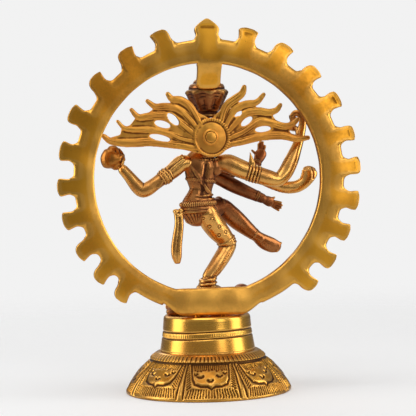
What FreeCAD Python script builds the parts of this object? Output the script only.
"""Brass nataraja: a dancing figure inside a ring of flames, on a two-piece lotus pedestal.

Frame: +Z up, the figure faces -Y, its left hand is towards +X. The origin is the centre of
the pedestal's foot. Millimetres. Every size is a cell of the sheet "dims".
"""
import FreeCAD, Part
import math
import os

import Sketcher
from FreeCAD import Placement, Rotation, Vector

doc = FreeCAD.newDocument("nataraja")
dims = doc.addObject("Spreadsheet::Sheet", "dims")

# ---------------------------------------------------------------- driving dimensions
SIZES = {
    # lotus skirt, the spreading foot of the pedestal
    "foot_radius": 45.7, "foot_lip": 1.2, "skirt_wall": 3.2,
    "skirt_mid_radius": 41.9, "skirt_mid_height": 8.6,
    "skirt_upper_radius": 37.4, "skirt_upper_height": 13.6,
    "collar_radius": 32.4, "collar_bottom": 18.6, "collar_top": 22.6,
    "collar_top_radius": 28.2, "seat_radius": 21.0,
    # drum, the turned cup that stands on the skirt's collar
    "drum_radius": 26.4, "drum_top_radius": 23.8, "drum_rim": 1.6, "drum_top": 42.4,
    "drum_wall": 3.0, "drum_plate": 3.6, "spigot_depth": 2.6, "spigot_play": 0.06,
    # ring of flames
    "ring_x": 0.0, "ring_z": 117.1, "ring_inner": 62.2, "ring_root": 73.6,
    "root_shift_x": -0.9, "root_shift_z": 0.9, "ring_back": 19.3, "ring_thick": 4.6,
    "chord_z": 57.9, "ring_foot_half": 17.0,
    "flames_per_side": 10, "flame_neck": 8.8, "flame_tip": 10.6,
    # each side of the finial: degrees to the first flame, first gap, what each gap closes by, height
    "left_first": 18.0, "left_gap": 16.2, "left_closing": 0.65, "left_height": 9.2,
    "right_first": 16.5, "right_gap": 14.8, "right_closing": 0.3, "right_height": 9.6,
    "finial_height": 11.4, "finial_width": 12.8,
    "tongue_width": 13.2, "tongue_x": -2.0, "tongue_bottom": 168.0, "tongue_reach": 7.0,
    "flange_depth": 7.2, "flange_thick": 2.4, "flange_half": 11.0,
    # fixings
    "bolt_radius": 2.5, "bolt_hole": 2.75, "bolt_head": 3.5, "bolt_flats": 8.0, "bolt_length": 15.4,
    "washer_radius": 5.2, "washer_thick": 1.0,
    "rivet_radius": 1.5, "rivet_head_radius": 2.6, "rivet_head": 1.3, "rivet_x": 7.2, "rivet_y": 11.2,
    "rivet_play": 0.05,
    "hair_rivet_radius": 1.6, "hair_rivet_head_radius": 3.7, "hair_rivet_head": 2.0,
    # figure
    "crown_x": -3.4, "crown_y": -1.0, "crown_bottom": 150.4, "crown_waist": 153.8, "crown_wide": 164.6,
    "crown_shoulder": 169.0, "crown_cap": 174.0,
    "crown_bottom_radius": 7.0, "crown_waist_radius": 6.4, "crown_wide_radius": 11.7,
    "crown_shoulder_radius": 9.0, "crown_cap_radius": 3.0,
    "hair_front": 8.0, "hair_thick": 2.4, "boss_x": -2.8, "boss_z": 139.4, "boss_radius": 5.0,
    "tenon_radius": 1.3, "tenon_length": 3.0, "socket_play": 0.05,
}

# joints and knots of the figure: x, y, z and the radius of the metal there
POINTS = {
    "left_hip": (7.0, -3.4, 98.0, 5.2), "raised_knee": (-13.2, -15.8, 101.6, 4.7),
    "raised_ankle": (-31.6, -19.0, 85.2, 2.9), "raised_toe": (-46.8, -21.2, 76.9, 2.3),
    "right_hip": (-2.2, 0.4, 97.2, 5.6), "knee": (-14.2, -4.8, 81.4, 4.6),
    "ankle": (-0.9, 1.0, 62.6, 3.3), "heel": (-0.6, 2.2, 57.6, 3.7), "toe": (-7.4, -9.6, 56.6, 2.9),
    "left_back_shoulder": (9.2, 1.6, 126.4, 4.2), "left_back_elbow": (34.0, 3.6, 110.4, 3.5),
    "left_back_wrist": (44.4, 1.6, 123.2, 2.4), "left_palm": (47.6, 0.4, 127.2, 3.4),
    "right_back_shoulder": (-10.6, 1.8, 125.4, 4.9), "right_back_elbow": (-41.6, 4.0, 115.8, 4.1),
    "right_back_wrist": (-54.2, 1.4, 136.6, 2.6), "drum_knuckle": (-57.2, -0.2, 145.2, 2.5),
    "drum_finger": (-52.2, -1.0, 152.4, 1.9),
    "left_front_shoulder": (6.6, -5.0, 124.0, 3.9), "left_front_elbow": (-9.0, -12.2, 117.8, 3.4),
    "left_front_wrist": (-36.6, -15.0, 104.4, 2.4), "trailing_fingers": (-46.6, -17.0, 98.8, 2.0),
    "right_front_shoulder": (-9.6, -4.2, 123.2, 3.7), "right_front_elbow": (-29.6, -8.4, 119.6, 3.0),
    "right_front_wrist": (-33.2, -14.0, 125.4, 2.3), "raised_fingers": (-33.8, -15.0, 135.4, 1.9),
    "cobra_tail": (-31.4, -6.2, 116.6, 2.2), "cobra_body": (-44.0, -3.0, 111.4, 2.5),
    "cobra_bend": (-54.0, -2.4, 109.6, 2.7), "cobra_neck": (-60.2, -2.4, 114.2, 2.6),
    "cobra_hood": (-63.0, -2.6, 120.0, 3.2),
    "sash_knot": (14.6, 2.4, 98.2, 2.6), "sash_middle": (16.6, 3.0, 83.0, 2.7), "sash_end": (15.6, 3.0, 72.0, 2.4),
    "dwarf_hip": (13.0, -1.0, 47.4, 5.6), "dwarf_chest": (-8.0, -2.4, 47.8, 6.4),
    "dwarf_head": (-20.6, -5.6, 51.4, 6.0), "dwarf_knee": (19.0, -8.0, 46.6, 3.8),
    "dwarf_foot": (12.0, -12.4, 45.0, 2.8), "dwarf_elbow": (-9.0, -11.6, 46.4, 3.0),
    "dwarf_hand": (-15.6, -14.4, 45.2, 2.4),
}

# torso sections from the seat to the neck: x, y, z and the half widths along X and Y
SECTIONS = {
    "seat": (3.2, -0.6, 92.4, 7.6, 5.2), "hips": (3.6, 0.0, 100.0, 10.4, 7.2),
    "belt": (3.0, 0.0, 106.0, 8.8, 6.6), "waist": (1.6, 0.0, 111.0, 6.3, 5.1),
    "ribs": (0.0, 0.1, 118.0, 8.9, 6.0), "chest": (-0.7, 0.3, 124.4, 10.6, 6.4),
    "collarbone": (-1.4, 0.5, 128.8, 7.4, 5.2),
}


# hair fan: outline of the two wings and the disc between them, in X and Z
FAN_OUTLINE = [
    (5.4, 149.4), (8.0, 153.6), (11.0, 158.0), (15.0, 160.4), (18.0, 160.0), (19.0, 164.0), (21.4, 163.6),
    (22.6, 158.6), (27.4, 156.2), (30.4, 160.8), (32.6, 159.6), (33.4, 153.2), (38.2, 151.6),
    (40.2, 156.2), (42.4, 154.6), (41.8, 147.6), (46.2, 146.0), (48.6, 150.0), (50.6, 148.2),
    (49.6, 141.8), (53.8, 141.8), (56.0, 142.0), (55.2, 139.2), (50.0, 136.2), (44.0, 135.6), (30.0, 136.2),
    (22.0, 134.6), (13.6, 131.6), (6.0, 130.2), (-2.0, 130.8), (-9.0, 131.2), (-14.8, 134.0),
    (-24.0, 136.0), (-35.0, 137.6), (-47.4, 136.8), (-55.6, 135.4), (-58.2, 137.6), (-53.2, 139.8),
    (-47.8, 141.8), (-52.6, 148.0), (-50.8, 149.6), (-46.6, 146.6), (-40.8, 147.6), (-43.4, 155.2),
    (-41.2, 156.8), (-37.2, 152.6), (-31.2, 153.0), (-34.4, 161.8), (-32.0, 163.0), (-28.4, 158.6), (-22.6, 158.6),
    (-23.6, 167.0), (-21.4, 167.6), (-19.4, 162.8), (-15.0, 161.0), (-11.0, 156.0), (-9.4, 151.6),
]
# openings between the locks: centre X and Z, half length, half height, tilt in degrees
FAN_OPENINGS = [
    (17.4, 149.2, 3.6, 2.0, 130.0), (23.4, 145.4, 4.8, 2.1, 152.0), (26.2, 139.2, 5.2, 1.9, 162.0),
    (-23.6, 145.6, 3.6, 1.7, 35.0), (-32.4, 141.8, 4.4, 1.6, 12.0), (-20.2, 151.4, 1.3, 0.8, 35.0),
]

cells = dict(SIZES)
for point, numbers in POINTS.items():
    cells.update(zip((point + "_x", point + "_y", point + "_z", point + "_rad"), numbers))
for section, numbers in SECTIONS.items():
    keys = [section + end for end in ("_x", "_y", "_z", "_wide", "_deep")]
    cells.update(zip(keys, numbers))
for row, (alias, number) in enumerate(cells.items(), start=1):
    dims.set(f"A{row}", alias)
    dims.set(f"B{row}", str(number))
    dims.setAlias(f"B{row}", alias)
doc.recompute()


def size(alias):
    return float(dims.get(alias))


# ---------------------------------------------------------------- helpers
def bind(thing, **properties):
    """Binds properties to sheet expressions; a double underscore stands for a dot."""
    for name, expression in properties.items():
        thing.setExpression(name.replace("__", "."), expression)
    return thing


def place(thing, x, y, z):
    return bind(thing, Placement__Base__x=x, Placement__Base__y=y, Placement__Base__z=z)


def at_point(thing, point):
    return place(thing, f"dims.{point}_x", f"dims.{point}_y", f"dims.{point}_z")


def position(point):
    return Vector(*(size(f"{point}_{axis}") for axis in "xyz"))


def ball(point):
    sphere = doc.addObject("Part::Sphere", "ball_" + point)
    bind(sphere, Radius=f"dims.{point}_rad")
    return at_point(sphere, point)


def bone(start, end):
    """A tapered bar from one point to the next, as thick as each point says."""
    cone = doc.addObject("Part::Cone", f"bone_{start}_{end}")
    squares = " + ".join(f"(dims.{end}_{a} - dims.{start}_{a})^2" for a in "xyz")
    bind(cone, Radius1=f"dims.{start}_rad", Radius2=f"dims.{end}_rad", Height=f"sqrt({squares})")
    direction = position(end) - position(start)
    cone.Placement = Placement(position(start), Rotation(Vector(0, 0, 1), direction))
    return at_point(cone, start)


def chain(*points):
    """Balls at the points and bars between them."""
    return [ball(p) for p in points] + [bone(a, b) for a, b in zip(points, points[1:])]


def fuse(label, pieces):
    whole = doc.addObject("Part::MultiFuse", label)
    whole.Shapes = pieces
    whole.Label = label
    return whole


def cut(label, base, tools):
    tool = tools[0] if len(tools) == 1 else fuse(label + "_tools", tools)
    result = doc.addObject("Part::Cut", label)
    result.Base = base
    result.Tool = tool
    result.Label = label
    return result


def rod(name, centre, direction, radius, length):
    """A round bar whose middle is at centre; radius and length are sheet expressions."""
    bar = doc.addObject("Part::Cylinder", name)
    bind(bar, Radius=radius, Height=length)
    doc.recompute()
    axis = Vector(*direction).normalize()
    start = Vector(*centre) - axis * (bar.Height.Value / 2)
    bar.Placement = Placement(start, Rotation(Vector(0, 0, 1), axis))
    return bar


def tenon_at(name, centre, direction):
    return rod(name + "_tenon", centre, direction, "dims.tenon_radius", "2 * dims.tenon_length")


def socket_at(name, centre, direction):
    return rod(name + "_socket", centre, direction, "dims.tenon_radius + dims.socket_play",
               "2 * dims.tenon_length + 0.4")


def lump(name, centre, radii, turn=(0, 0, 1, 0)):
    """An ellipsoid; radii run along its own x, y and z."""
    body = doc.addObject("Part::Ellipsoid", name)
    body.Radius1, body.Radius2, body.Radius3 = radii[2], radii[0], radii[1]
    body.Placement = Placement(Vector(*centre), Rotation(Vector(*turn[:3]), turn[3]))
    return body


def new_body(label):
    body = doc.addObject("PartDesign::Body", label)
    body.Label = label
    return body


def sketch_on(body, role, name, offset=0.0):
    """A sketch on one of the body's own origin planes, moved along that plane's normal."""
    plane = next(f for f in body.Origin.OriginFeatures if f.Role == role)
    sketch = body.newObject("Sketcher::SketchObject", name)
    sketch.AttachmentSupport = [(plane, "")]
    sketch.MapMode = "FlatFace"
    sketch.AttachmentOffset = Placement(Vector(0, 0, offset), Rotation())
    return sketch


def polygon(sketch, corners, bound=False):
    """A closed outline. A bound outline's corners are sheet expressions, each one a constraint."""
    first = sketch.GeometryCount
    count = len(corners)
    points = corners
    if bound:
        points = [tuple(float(dims.evalExpression(e)) for e in corner) for corner in corners]
    for i in range(count):
        a, b = points[i], points[(i + 1) % count]
        sketch.addGeometry(Part.LineSegment(Vector(*a, 0), Vector(*b, 0)), False)
    for i in range(count):
        following = first + (i + 1) % count
        sketch.addConstraint(Sketcher.Constraint("Coincident", first + i, 2, following, 1))
    if not bound:
        return
    for i, corner in enumerate(corners):
        for kind, number, expression in zip(("DistanceX", "DistanceY"), points[i], corner):
            c = sketch.addConstraint(Sketcher.Constraint(kind, -1, 1, first + i, 1, number))
            sketch.setExpression(f"Constraints[{c}]", expression.replace("dims.", "dims."))


def turned(label, corners):
    """A body turned about Z from a bound outline of radius and height."""
    body = new_body(label)
    sketch = sketch_on(body, "XZ_Plane", label + "_profile")
    polygon(sketch, corners, bound=True)
    turn = body.newObject("PartDesign::Revolution", label + "_turn")
    turn.Profile = sketch
    turn.ReferenceAxis = (sketch, ["V_Axis"])
    turn.Angle = 360
    doc.recompute()
    return body


def pad(body, sketch, length):
    feature = body.newObject("PartDesign::Pad", sketch.Name + "_pad")
    feature.Profile = sketch
    bind(feature, Length=length)
    doc.recompute()
    return feature


# ---------------------------------------------------------------- pedestal
lotus_skirt = turned("lotus_skirt", [
    ("dims.foot_radius - dims.skirt_wall", "0.01"),
    ("dims.foot_radius - dims.foot_lip", "0.01"),
    ("dims.foot_radius", "dims.foot_lip"),
    ("dims.skirt_mid_radius", "dims.skirt_mid_height"),
    ("dims.skirt_upper_radius", "dims.skirt_upper_height"),
    ("dims.collar_radius", "dims.collar_bottom"),
    ("dims.collar_radius - 0.6", "dims.collar_bottom + 1.2"),
    ("dims.collar_top_radius", "dims.collar_top"),
    ("dims.seat_radius + dims.spigot_play", "dims.collar_top"),
    ("dims.seat_radius + dims.spigot_play", "dims.collar_bottom - 0.6"),
    ("dims.collar_radius - dims.skirt_wall - 1.6", "dims.collar_bottom - 1.8"),
    ("dims.skirt_upper_radius - dims.skirt_wall", "dims.skirt_upper_height - 1.6"),
    ("dims.skirt_mid_radius - dims.skirt_wall", "dims.skirt_mid_height - 0.8"),
])

drum_blank = turned("drum_blank", [
    ("dims.seat_radius", "dims.collar_top - dims.spigot_depth"),
    ("dims.seat_radius", "dims.collar_top"),
    ("dims.drum_radius", "dims.collar_top"),
    ("dims.drum_top_radius", "dims.drum_top - dims.drum_rim"),
    ("dims.drum_top_radius - dims.drum_rim", "dims.drum_top"),
    ("dims.bolt_hole", "dims.drum_top"),
    ("dims.bolt_hole", "dims.drum_top - dims.drum_plate"),
    ("dims.drum_top_radius - dims.drum_wall - 1.5", "dims.drum_top - dims.drum_plate"),
    ("dims.drum_top_radius - dims.drum_wall", "dims.drum_top - dims.drum_plate - 2"),
    ("dims.seat_radius - 1.6", "dims.collar_top + 2"),
    ("dims.seat_radius - 1.6", "dims.collar_top - dims.spigot_depth"),
])


def rivet_bars(name, radius, length, middle_z):
    bars = []
    for side in (-1, 1):
        bar = doc.addObject("Part::Cylinder", f"{name}_{'left' if side > 0 else 'right'}")
        bind(bar, Radius=radius, Height=length)
        place(bar, f"{side} * dims.rivet_x", "dims.rivet_y", f"{middle_z} - ({length}) / 2")
        bars.append(bar)
    return bars


PLATE_MIDDLE = "(dims.drum_top - (dims.drum_plate - dims.flange_thick) / 2)"
STACK = "(dims.drum_plate + dims.flange_thick)"
rivet_holes = rivet_bars("drum_rivet_hole", "dims.rivet_radius + dims.rivet_play", STACK + " + 2", PLATE_MIDDLE)
pedestal_drum = cut("pedestal_drum", drum_blank, rivet_holes)

# ---------------------------------------------------------------- ring of flames
flame_body = new_body("flame_ring_blank")
ring_sketch = sketch_on(flame_body, "XZ_Plane", "ring_band", -size("ring_back"))
outer = ring_sketch.addGeometry(Part.Circle(Vector(0, 100, 0), Vector(0, 0, 1), size("ring_root")), False)
inner = ring_sketch.addGeometry(Part.Circle(Vector(0, 100, 0), Vector(0, 0, 1), size("ring_inner")), False)
for circle, radius, x, z in (
    (outer, "dims.ring_root", "dims.ring_x + dims.root_shift_x", "dims.ring_z + dims.root_shift_z"),
    (inner, "dims.ring_inner", "dims.ring_x", "dims.ring_z"),
):
    spot = [float(dims.evalExpression(e)) for e in (x, z)]
    for kind, number, expression in (("DistanceX", spot[0], x), ("DistanceY", spot[1], z)):
        c = ring_sketch.addConstraint(Sketcher.Constraint(kind, -1, 1, circle, 3, number))
        ring_sketch.setExpression(f"Constraints[{c}]", expression)
    c = ring_sketch.addConstraint(Sketcher.Constraint("Radius", circle, size(radius[5:])))
    ring_sketch.setExpression(f"Constraints[{c}]", radius)
pad(flame_body, ring_sketch, "dims.ring_thick")


def on_ring(angle, radius, across):
    """A point on the ring's face: angle from the top towards +X, and a shift across that ray."""
    a = math.radians(angle)
    centre_x = size("ring_x") + size("root_shift_x")
    centre_z = size("ring_z") + size("root_shift_z")
    x = centre_x + radius * math.sin(a) + across * math.cos(a)
    z = centre_z + radius * math.cos(a) - across * math.sin(a)
    return x, z


def flame_places(name, sign):
    """Angle and height of each flame on one side: the gaps close a little from the finial to the foot."""
    angle, gap = size(name + "_first"), size(name + "_gap")
    places = []
    for _ in range(int(size("flames_per_side"))):
        places.append((sign * angle, size(name + "_height")))
        angle, gap = angle + gap, gap - size(name + "_closing")
    return places


ROOT_BITE = 1.5
flames_sketch = sketch_on(flame_body, "XZ_Plane", "flames", -size("ring_back"))
for angle, height in flame_places("left", 1) + flame_places("right", -1):
    root, tip = size("ring_root"), size("ring_root") + height
    neck, crest = size("flame_neck") / 2, size("flame_tip") / 2
    flame = [(root - ROOT_BITE, -neck), (root + 1.6, -neck), (tip - 2.4, -crest), (tip - 0.6, -crest + 1.2),
             (tip, 0.0), (tip - 0.6, crest - 1.2), (tip - 2.4, crest), (root + 1.6, neck), (root - ROOT_BITE, neck)]
    polygon(flames_sketch, [on_ring(angle, r, s) for r, s in flame])
half = size("finial_width") / 2
top = size("ring_root") + size("finial_height")
finial = [(size("ring_root") - ROOT_BITE, -half + 0.8), (size("ring_root") + 1.5, -half + 0.8),
          (size("ring_root") + 5.0, -half), (top - 4.6, -half + 2.6), (top, 0.0), (top - 4.6, half - 2.6),
          (size("ring_root") + 5.0, half), (size("ring_root") + 1.5, half - 0.8),
          (size("ring_root") - ROOT_BITE, half - 0.8)]
polygon(flames_sketch, [on_ring(0.0, r, s) for r, s in finial])
pad(flame_body, flames_sketch, "dims.ring_thick")

# the foot closes the ring's lowest part up to a chord and reaches down to the drum
foot_sketch = sketch_on(flame_body, "XZ_Plane", "ring_foot", -size("ring_back"))
polygon(foot_sketch, [
    ("dims.ring_x - dims.ring_foot_half + 2.4", "dims.drum_top"),
    ("dims.ring_x + dims.ring_foot_half - 2.4", "dims.drum_top"),
    ("dims.ring_x + dims.ring_foot_half", "dims.drum_top + 2.6"),
    ("dims.ring_x + dims.ring_foot_half + 1.6", "dims.chord_z"),
    ("dims.ring_x - dims.ring_foot_half - 1.6", "dims.chord_z"),
    ("dims.ring_x - dims.ring_foot_half", "dims.drum_top + 2.6"),
], bound=True)
pad(flame_body, foot_sketch, "dims.ring_thick")

# the tongue leaves the ring's inner edge and leans forward to the crown
tongue_sketch = sketch_on(flame_body, "YZ_Plane", "ring_tongue", size("tongue_x") - size("tongue_width") / 2)
polygon(tongue_sketch, [
    ("dims.ring_back", "dims.ring_z + dims.ring_inner + 2"),
    ("dims.ring_back", "dims.ring_z + dims.ring_inner - 0.6"),
    ("dims.ring_back - dims.tongue_reach", "dims.tongue_bottom"),
    ("dims.ring_back - dims.tongue_reach - dims.ring_thick", "dims.tongue_bottom"),
    ("dims.ring_back - dims.ring_thick", "dims.ring_z + dims.ring_inner - 0.6"),
    ("dims.ring_back - dims.ring_thick", "dims.ring_z + dims.ring_inner + 2"),
], bound=True)
pad(flame_body, tongue_sketch, "dims.tongue_width")

flange = doc.addObject("Part::Box", "ring_flange")
bind(flange, Length="2 * dims.flange_half", Width="dims.flange_depth + 0.5", Height="dims.flange_thick")
place(flange, "-dims.flange_half", "dims.ring_back - dims.ring_thick - dims.flange_depth", "dims.drum_top")
ring_whole = fuse("flame_ring_whole", [flame_body, flange])
ring_holes = rivet_bars("ring_rivet_hole", "dims.rivet_radius + dims.rivet_play", STACK + " + 2", PLATE_MIDDLE)

# ---------------------------------------------------------------- fixings
def hexagon(name, flats, height, x, y, z):
    prism = doc.addObject("Part::Prism", name)
    prism.Polygon = 6
    bind(prism, Circumradius=f"{flats} / sqrt(3)", Height=height)
    return place(prism, x, y, z)


UNDER_PLATE = "(dims.drum_top - dims.drum_plate)"
bolt_head = hexagon("bolt_head", "dims.bolt_flats", "dims.bolt_head", "0", "0",
                    UNDER_PLATE + " - dims.washer_thick - dims.bolt_head")
bolt_shank = doc.addObject("Part::Cylinder", "bolt_shank")
bind(bolt_shank, Radius="dims.bolt_radius", Height="dims.bolt_length - dims.bolt_head")
place(bolt_shank, "0", "0", UNDER_PLATE + " - dims.washer_thick")
base_bolt = fuse("base_bolt", [bolt_head, bolt_shank])

washer_disc = doc.addObject("Part::Cylinder", "washer_disc")
bind(washer_disc, Radius="dims.washer_radius", Height="dims.washer_thick")
place(washer_disc, "0", "0", UNDER_PLATE + " - dims.washer_thick")
washer_hole = doc.addObject("Part::Cylinder", "washer_hole")
bind(washer_hole, Radius="dims.bolt_hole", Height="dims.washer_thick + 2")
place(washer_hole, "0", "0", UNDER_PLATE + " - dims.washer_thick - 1")
base_washer = cut("base_washer", washer_disc, [washer_hole])

rivet_shanks = rivet_bars("rivet_shank", "dims.rivet_radius", STACK, PLATE_MIDDLE)
top_heads = rivet_bars("rivet_top", "dims.rivet_head_radius", "dims.rivet_head",
                       "(dims.drum_top + dims.flange_thick + dims.rivet_head / 2)")
tail_heads = rivet_bars("rivet_tail", "dims.rivet_head_radius", "dims.rivet_head",
                        "(dims.drum_top - dims.drum_plate - dims.rivet_head / 2)")
ring_rivets = fuse("ring_rivets", rivet_shanks + top_heads + tail_heads)

# ---------------------------------------------------------------- trampled dwarf under the foot
dwarf_whole = fuse("dwarf_whole", chain("dwarf_hip", "dwarf_chest", "dwarf_head")
                   + chain("dwarf_hip", "dwarf_knee", "dwarf_foot")
                   + chain("dwarf_chest", "dwarf_elbow", "dwarf_hand"))
below_drum_top = doc.addObject("Part::Box", "below_drum_top")
bind(below_drum_top, Length="80", Width="60", Height="20")
place(below_drum_top, "-40", "-30", "dims.drum_top - 20")
bolt_socket = rod("bolt_socket", (0, 0, size("drum_top")), (0, 0, 1), "dims.bolt_radius + 0.04",
                  "2 * (dims.bolt_length - dims.bolt_head - dims.drum_plate - dims.washer_thick + 0.8)")
HEEL_PEG = ((-1.6, 0.6, 54.0), (0, 0, 1))
dwarf = cut("dwarf", dwarf_whole, [below_drum_top, bolt_socket, socket_at("heel", *HEEL_PEG)])

# ---------------------------------------------------------------- torso
def section_ellipse(section):
    ellipse = doc.addObject("Part::Ellipse", section + "_section")
    bind(ellipse, MajorRadius=f"dims.{section}_wide", MinorRadius=f"dims.{section}_deep")
    return at_point(ellipse, section)


torso_loft = doc.addObject("Part::Loft", "torso_loft")
torso_loft.Sections = [section_ellipse(s) for s in SECTIONS]
torso_loft.Solid = True
torso_loft.Ruled = False
neck = doc.addObject("Part::Cone", "neck")
neck.Radius1, neck.Radius2, neck.Height = 4.6, 3.7, 8.0
neck.Placement = Placement(Vector(-1.6, 0.2, 127.4), Rotation(Vector(0, 0, 1), Vector(-0.12, -0.1, 1)))
belt_band = doc.addObject("Part::Ellipsoid", "belt_band")
belt_band.Radius1, belt_band.Radius2, belt_band.Radius3 = 4.4, 12.0, 8.6
place(belt_band, "dims.hips_x", "dims.hips_y", "dims.hips_z + 3.2")
torso_whole = fuse("torso_whole", [torso_loft, neck, belt_band])

# pegs of the pieces that are brazed on: centre and direction of each tenon
PEGS = {
    "standing_leg": ((-4.9, -0.8, 93.4), (0.59, 0.25, 0.77)),
    "raised_leg": ((2.4, -6.4, 98.8), (0.2, 1, 0)),
    "flame_arm": ((8.9, 2.0, 126.4), (1, 0, 0)),
    "drum_arm": ((-8.6, 1.7, 126.0), (0.95, -0.07, 0.3)),
    "sweeping_arm": ((5.2, -5.0, 123.4), (0.4, 1, 0.2)),
    "blessing_arm": ((-8.8, -4.4, 123.4), (0.7, 0.8, 0.1)),
    "hanging_sash": ((12.6, 2.0, 99.4), (1, 0.2, -0.1)),
    "head": ((-2.2, -0.5, 134.6), (-0.1, 0, 1)),
}
torso = cut("torso", torso_whole, [socket_at(n, *PEGS[n]) for n in PEGS if n != "head"])

# ---------------------------------------------------------------- head, crown and hair
skull = lump("skull", (-2.8, -1.4, 141.8), (7.9, 8.4, 9.6))
nape_boss = rod("nape_boss", (size("boss_x"), size("hair_front") / 2 + 1, size("boss_z")), (0, 1, 0),
                "dims.boss_radius", "dims.hair_front - 2")
head_whole = fuse("head_whole", [skull, nape_boss])
rivet_bore = rod("rivet_bore", (size("boss_x"), 5.5, size("boss_z")), (0, 1, 0),
                 "dims.hair_rivet_radius + dims.rivet_play", "7")
CROWN_PEG = ((size("crown_x"), size("crown_y"), size("crown_bottom")), (0, 0, 1))
crown_cut_box = doc.addObject("Part::Box", "above_brow")
bind(crown_cut_box, Length="40", Width="40", Height="20")
place(crown_cut_box, "-20", "-20", "dims.crown_bottom")
head = cut("head", head_whole, [torso_whole, rivet_bore, crown_cut_box,
                                socket_at("crown", *CROWN_PEG)])


def crown_stage(name, low, high, wide_low, wide_high):
    stage = doc.addObject("Part::Cone", name)
    bind(stage, Radius1=f"dims.{wide_low}", Radius2=f"dims.{wide_high}", Height=f"dims.{high} - dims.{low}")
    return place(stage, "dims.crown_x", "dims.crown_y", f"dims.{low}")


crown_whole = fuse("crown_whole", [
    crown_stage("crown_base", "crown_bottom", "crown_waist", "crown_bottom_radius", "crown_waist_radius"),
    crown_stage("crown_flare", "crown_waist", "crown_wide", "crown_waist_radius", "crown_wide_radius"),
    crown_stage("crown_top", "crown_wide", "crown_shoulder", "crown_wide_radius", "crown_shoulder_radius"),
    crown_stage("crown_knob", "crown_shoulder", "crown_cap", "crown_shoulder_radius", "crown_cap_radius"),
    tenon_at("crown", (CROWN_PEG[0][0], CROWN_PEG[0][1], CROWN_PEG[0][2]), CROWN_PEG[1]),
])
flame_ring = cut("flame_ring", ring_whole, ring_holes)
crown = cut("crown", crown_whole, [flame_ring])

fan_body = new_body("hair_fan")
fan_sketch = sketch_on(fan_body, "XZ_Plane", "fan_outline", -(size("hair_front") + size("hair_thick")))
polygon(fan_sketch, FAN_OUTLINE)
pad(fan_body, fan_sketch, "dims.hair_thick")
openings = sketch_on(fan_body, "XZ_Plane", "fan_openings", -(size("hair_front") + size("hair_thick")))
for x, z, long_half, short_half, tilt in FAN_OPENINGS:
    t = math.radians(tilt)
    centre = Vector(x, z, 0)
    major = centre + Vector(math.cos(t), math.sin(t), 0) * long_half
    minor = centre + Vector(-math.sin(t), math.cos(t), 0) * short_half
    openings.addGeometry(Part.Ellipse(major, minor, centre), False)
hole = openings.addGeometry(Part.Circle(Vector(size("boss_x"), size("boss_z"), 0), Vector(0, 0, 1), 1.65), False)
c = openings.addConstraint(Sketcher.Constraint("Radius", hole, 1.65))
openings.setExpression(f"Constraints[{c}]", "dims.hair_rivet_radius + dims.rivet_play")
pierce = fan_body.newObject("PartDesign::Pocket", "fan_pierce")
pierce.Profile = openings
pierce.Reversed = True
bind(pierce, Length="dims.hair_thick + 1")
doc.recompute()
hair_fan = fan_body

hair_rivet = fuse("hair_rivet", [
    rod("hair_rivet_shank", (size("boss_x"), (size("hair_front") + size("hair_thick") + 2.2) / 2, size("boss_z")),
        (0, 1, 0), "dims.hair_rivet_radius", "dims.hair_front + dims.hair_thick - 2.2"),
    rod("hair_rivet_head", (size("boss_x"), size("hair_front") + size("hair_thick") + size("hair_rivet_head") / 2,
                            size("boss_z")), (0, 1, 0), "dims.hair_rivet_head_radius", "dims.hair_rivet_head"),
])

# ---------------------------------------------------------------- limbs and what the hands hold
def brazed(label, pieces, pegs, against):
    """A piece that is brazed on: it carries its own tenons and is trimmed where it meets its neighbours."""
    trimmed = cut(label + "_trimmed", fuse(label + "_whole", pieces), against)
    tenons = [tenon_at(f"{label}_{i}", *peg) for i, peg in enumerate(pegs)]
    return fuse(label, [trimmed] + tenons)


standing_leg = brazed("standing_leg", chain("right_hip", "knee", "ankle", "heel", "toe"),
                      [PEGS["standing_leg"], HEEL_PEG], [torso_whole, dwarf_whole])
raised_leg = brazed("raised_leg", chain("left_hip", "raised_knee", "raised_ankle", "raised_toe"),
                    [PEGS["raised_leg"]], [torso_whole, standing_leg])
flame_arm = brazed("flame_arm", chain("left_back_shoulder", "left_back_elbow", "left_back_wrist", "left_palm"),
                   [PEGS["flame_arm"]], [torso_whole])
drum_arm = brazed("drum_arm", chain("right_back_shoulder", "right_back_elbow", "right_back_wrist",
                                    "drum_knuckle", "drum_finger"), [PEGS["drum_arm"]], [torso_whole])
sweeping_arm = brazed("sweeping_arm", chain("left_front_shoulder", "left_front_elbow", "left_front_wrist",
                                            "trailing_fingers"), [PEGS["sweeping_arm"]], [torso_whole, flame_arm])
blessing_arm = brazed("blessing_arm", chain("right_front_shoulder", "right_front_elbow", "right_front_wrist",
                                            "raised_fingers"), [PEGS["blessing_arm"]],
                      [torso_whole, drum_arm, sweeping_arm])
cobra = cut("cobra", fuse("cobra_whole", chain("cobra_tail", "cobra_body", "cobra_bend", "cobra_neck", "cobra_hood")),
            [blessing_arm, drum_arm])
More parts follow.
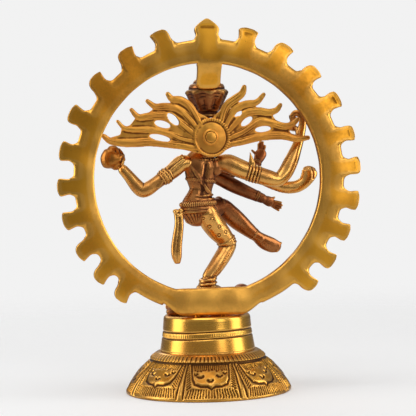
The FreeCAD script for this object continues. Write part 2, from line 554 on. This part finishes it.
hanging_sash = brazed("hanging_sash", chain("sash_knot", "sash_middle", "sash_end"), [PEGS["hanging_sash"]],
                      [torso_whole, raised_leg])

fire_pot = cut("fire_pot", lump("pot", (49.2, -0.6, 129.2), (6.4, 5.0, 5.9)),
               [flame_arm])
drum_axis = Rotation(Vector(0, 0, 1), Vector(1, -0.1, 0.35))
bells = []
for side in (-1, 1):
    bell = doc.addObject("Part::Cone", f"bell_{side + 1}")
    bell.Radius1, bell.Radius2, bell.Height = 1.4, 3.1, 4.4
    turn = drum_axis if side > 0 else Rotation(Vector(0, 0, 1), Vector(-1, 0.1, -0.35))
    bell.Placement = Placement(Vector(-51.6, -3.4, 146.4) - turn.multVec(Vector(0, 0, 0.3)), turn)
    bells.append(bell)
hand_drum = cut("hand_drum", fuse("hand_drum_whole", bells), [drum_arm])
doc.recompute()

# ---------------------------------------------------------------- checks and export
NODES = {
    "lotus_skirt": lotus_skirt, "pedestal_drum": pedestal_drum, "base_bolt": base_bolt,
    "base_washer": base_washer, "dwarf": dwarf, "flame_ring": flame_ring, "ring_rivets": ring_rivets,
    "torso": torso, "head": head, "crown": crown, "hair_fan": hair_fan, "hair_rivet": hair_rivet,
    "standing_leg": standing_leg, "raised_leg": raised_leg, "flame_arm": flame_arm, "drum_arm": drum_arm,
    "sweeping_arm": sweeping_arm, "blessing_arm": blessing_arm, "cobra": cobra, "fire_pot": fire_pot,
    "hand_drum": hand_drum, "hanging_sash": hanging_sash,
}
for thing in doc.Objects:
    if "Invalid" in thing.State or "Error" in thing.State:
        raise RuntimeError(f"{thing.Name} failed: {thing.State}")
os.makedirs("parts", exist_ok=True)
for name, node in NODES.items():
    shape = node.Shape
    if shape.isNull() or not shape.isValid() or not shape.Solids:
        raise RuntimeError(f"{name} has no valid solid")
    box = shape.BoundBox
    print(f"{name:14s} solids {len(shape.Solids)} volume {shape.Volume:9.1f} mm3 "
          f"x {box.XMin:6.1f} {box.XMax:6.1f} y {box.YMin:6.1f} {box.YMax:6.1f} z {box.ZMin:6.1f} {box.ZMax:6.1f}")
    shape.exportStep(f"parts/{name}.step")
